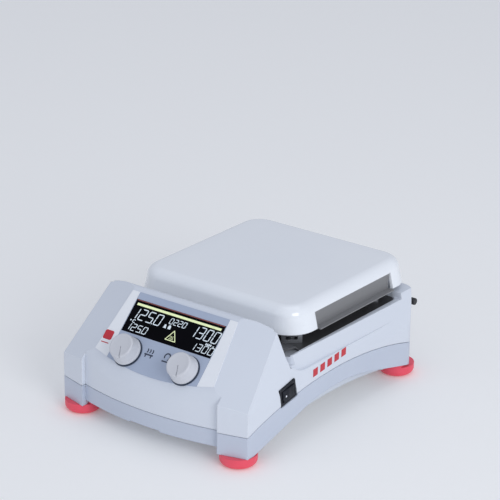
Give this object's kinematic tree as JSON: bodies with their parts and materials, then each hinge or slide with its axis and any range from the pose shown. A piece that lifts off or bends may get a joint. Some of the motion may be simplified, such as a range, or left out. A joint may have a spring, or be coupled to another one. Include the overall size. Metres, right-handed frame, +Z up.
{
  "type": "hotplate magnetic stirrer",
  "caption": "Laboratory hotplate stirrer: square ceramic plate over a stirring motor, sloping console with display and push knobs, arched base on round feet.",
  "frame": {"origin": "on the bench, under the middle of the object's overall box", "axes": "+X to the right seen from the front, +Y to the back, +Z up"},
  "size_m": [0.201, 0.2915, 0.1095],
  "materials": {
    "housing_paint": "satin",
    "base_paint": "satin",
    "pan_steel": "satin",
    "foot_rubber": "matte",
    "zinc_screw": "satin",
    "plate_ceramic": "glossy",
    "heater_foil": "satin",
    "insulation_felt": "matte",
    "shield_steel": "satin",
    "bracket_steel": "satin",
    "probe_steel": "satin",
    "cutout_ceramic": "matte",
    "overlay_film": "satin",
    "strip_film": "satin",
    "window_film": "glossy",
    "inner_plastic": "matte",
    "display_glass": "glossy",
    "circuit_board": "satin",
    "motor_steel": "satin",
    "stator_copper": "satin",
    "bearing_steel": "polished",
    "carrier_aluminium": "satin",
    "magnet_nickel": "polished",
    "mount_rubber": "matte",
    "standoff_brass": "satin",
    "core_steel": "matte",
    "lead_braid": "matte",
    "lead_jacket": "matte",
    "ribbon_grey": "matte",
    "switch_black": "satin",
    "inlet_black": "satin",
    "pin_nickel": "polished",
    "fuse_glass": "glossy",
    "port_steel": "satin",
    "socket_black": "satin",
    "holder_zinc": "satin",
    "thumb_black": "satin",
    "tray_steel": "satin",
    "encoder_metal": "satin",
    "knob_plastic": "satin"
  },
  "bodies": {
    "housing": {"upper_housing": "housing_paint", "base_shell": "base_paint", "bottom_pan": "pan_steel", "feet": "foot_rubber", "foot_screws": "zinc_screw", "housing_screws": "zinc_screw", "top_plate": "plate_ceramic", "heater_element": "heater_foil", "heater_insulation": "insulation_felt", "heat_shield": "shield_steel", "plate_brackets": "bracket_steel", "plate_screws": "zinc_screw", "deck_tray": "tray_steel", "magnet_cover": "shield_steel", "plate_probe": "probe_steel", "thermal_cutout": "cutout_ceramic", "control_overlay": "overlay_film", "panel_strips": "strip_film", "display_window": "window_film", "display_frame": "inner_plastic", "display_glass": "display_glass", "control_board": "circuit_board", "motor_case": "motor_steel", "motor_stator": "stator_copper", "motor_bearings": "bearing_steel", "motor_bracket": "bracket_steel", "motor_mounts": "mount_rubber", "motor_bridge": "bracket_steel", "motor_screws": "zinc_screw", "power_board": "circuit_board", "board_standoffs": "standoff_brass", "transformer": "core_steel", "heat_sink": "carrier_aluminium", "heater_leads": "lead_braid", "motor_lead": "lead_jacket", "ribbon_cable": "ribbon_grey", "switch_frame": "switch_black", "mains_inlet": "inlet_black", "inlet_pins": "pin_nickel", "serial_port": "port_steel", "probe_socket": "socket_black", "rod_holder": "holder_zinc", "rod_holder_screws": "zinc_screw", "left_encoder": "encoder_metal", "right_encoder": "encoder_metal"},
    "left_push": {"left_plunger": "encoder_metal"},
    "left_turn": {"left_knob": "knob_plastic", "left_knob_shaft": "encoder_metal"},
    "right_push": {"right_plunger": "encoder_metal"},
    "right_turn": {"right_knob": "knob_plastic", "right_knob_shaft": "encoder_metal"},
    "rocker": {"power_rocker": "switch_black"},
    "rotor": {"motor_rotor": "motor_steel", "magnet_carrier": "carrier_aluminium", "drive_magnets": "magnet_nickel", "carrier_set_screw": "zinc_screw"},
    "fuse_holder": {"fuse_drawer": "inlet_black", "fuses": "fuse_glass"},
    "clamp_pad": {"clamp_tip": "standoff_brass"},
    "clamp_thumb": {"clamp_screw": "thumb_black"}
  },
  "joints": [
    {"name": "left_press", "type": "slide", "parent": "housing", "child": "left_push", "axis": [0, 0.7071, -0.7071], "range_m": [0, 0.0005], "stiffness_N_per_m": 6000, "springref_m": -0.0003},
    {"name": "left_spin", "type": "hinge", "parent": "left_push", "child": "left_turn", "pos_m": [-0.0308, -0.12819, 0.06831], "axis": [0, -0.7071, 0.7071], "continuous": true},
    {"name": "right_press", "type": "slide", "parent": "housing", "child": "right_push", "axis": [0, 0.7071, -0.7071], "range_m": [0, 0.0005], "stiffness_N_per_m": 6000, "springref_m": -0.0003},
    {"name": "right_spin", "type": "hinge", "parent": "right_push", "child": "right_turn", "pos_m": [0.0308, -0.12819, 0.06831], "axis": [0, -0.7071, 0.7071], "continuous": true},
    {"name": "power_toggle", "type": "hinge", "parent": "housing", "child": "rocker", "pos_m": [0.0948, -0.0778, 0.0496], "axis": [0, -0.1736, 0.9848], "range_deg": [-16, 0]},
    {"name": "motor_spin", "type": "hinge", "parent": "housing", "child": "rotor", "pos_m": [0, 0.034, 0.06], "axis": [0, 0, 1], "continuous": true},
    {"name": "fuse_slide", "type": "slide", "parent": "housing", "child": "fuse_holder", "axis": [0, 1, 0], "range_m": [0, 0.022]},
    {"name": "clamp_feed", "type": "slide", "parent": "housing", "child": "clamp_pad", "axis": [-1, 0, 0], "range_m": [0, 0.002]},
    {"name": "clamp_turn", "type": "hinge", "parent": "clamp_pad", "child": "clamp_thumb", "pos_m": [0.0768, 0.1342, 0.059], "axis": [-1, 0, 0], "range_deg": [-5, 725]}
  ],
  "couplings": [
    {"joint": "clamp_turn", "follows": "clamp_feed", "rad_per_m": 6283.2}
  ]
}
